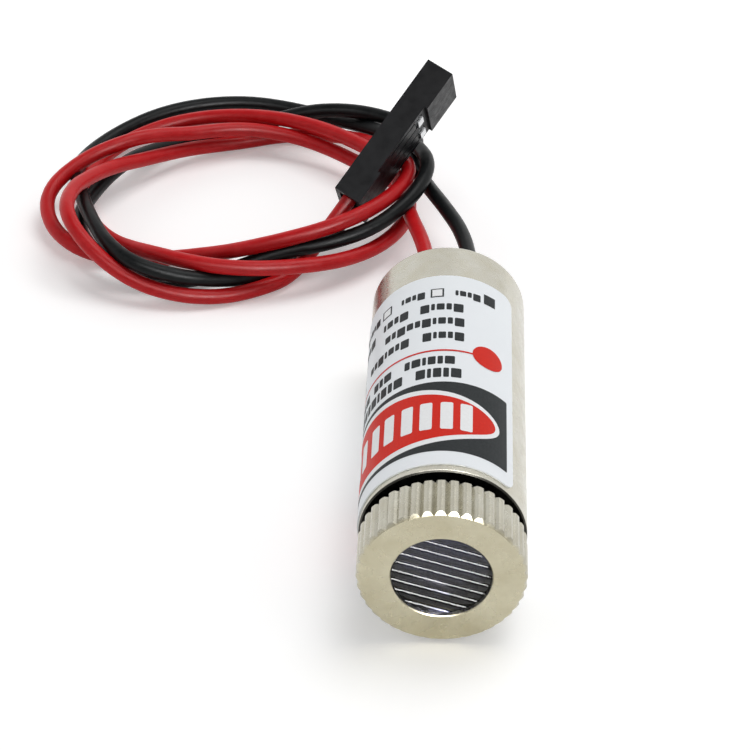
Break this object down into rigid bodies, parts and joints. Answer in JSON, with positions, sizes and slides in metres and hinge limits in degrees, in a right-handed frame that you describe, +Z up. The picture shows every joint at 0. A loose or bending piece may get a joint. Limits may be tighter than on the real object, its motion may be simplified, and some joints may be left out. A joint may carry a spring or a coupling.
{
  "type": "laser diode module",
  "caption": "Small cylindrical line-laser module with a knurled focus cap over a fluted lens, a wrapped label, and red and black leads coiled beside it to a small female connector",
  "frame": {"origin": "Bottom centre of the module without its leads: under the middle of the 32 mm long body, on the surface that it lies on.", "axes": "The barrel's axis lies along Y at a height of 6.1 mm; the focus cap and the beam face -Y, the leads leave towards +Y, and Z is up."},
  "size_m": [0.0426, 0.0715, 0.0138],
  "materials": {
    "nickel": "nickel plated, bright with a mottled haze",
    "label_paper": "glossy printed paper",
    "clear_lens": "clear moulded",
    "plain_brass": "turned",
    "spring_steel": "drawn wire",
    "gold_plate": "gold plated",
    "board_green": "solder mask",
    "black_plastic": "moulded, slightly glossy",
    "dark_ceramic": "fired",
    "tan_ceramic": "fired",
    "red_insulation": "soft extruded insulation",
    "black_insulation": "soft extruded insulation",
    "tin_plate": "tin plated"
  },
  "bodies": {
    "barrel": {"barrel": "nickel", "label": "label_paper", "diode_holder": "plain_brass", "diode_base": "gold_plate", "diode_can": "gold_plate", "diode_window": "clear_lens", "diode_chip_block": "gold_plate", "diode_pins": "gold_plate", "driver_board": "board_green", "driver_chip": "black_plastic", "chip_resistors": "dark_ceramic", "chip_capacitors": "tan_ceramic", "rear_plug": "black_plastic", "red_lead": "red_insulation", "black_lead": "black_insulation", "wire_coil": "red_insulation", "red_tail": "red_insulation", "black_tail": "black_insulation", "connector_housing": "black_plastic", "red_terminal": "tin_plate", "black_terminal": "tin_plate"},
    "spring": {"focus_spring": "spring_steel"},
    "cap": {"focus_cap": "nickel", "line_lens": "clear_lens", "lens_spacer": "black_plastic", "collimating_lens": "clear_lens", "lens_retaining_ring": "plain_brass"}
  },
  "joints": [
    {"name": "focus_travel", "type": "slide", "parent": "barrel", "child": "spring", "axis": [0, 1, 0], "range_m": [-0.002, 0.0008], "deforming": ["focus_spring"]},
    {"name": "focus_turn", "type": "hinge", "parent": "spring", "child": "cap", "pos_m": [0, -0.0142, 0.0061], "axis": [0, 1, 0], "range_deg": [-1441, 577]}
  ],
  "couplings": [
    {"joint": "focus_turn", "follows": "focus_travel", "rad_per_m": 12566}
  ]
}
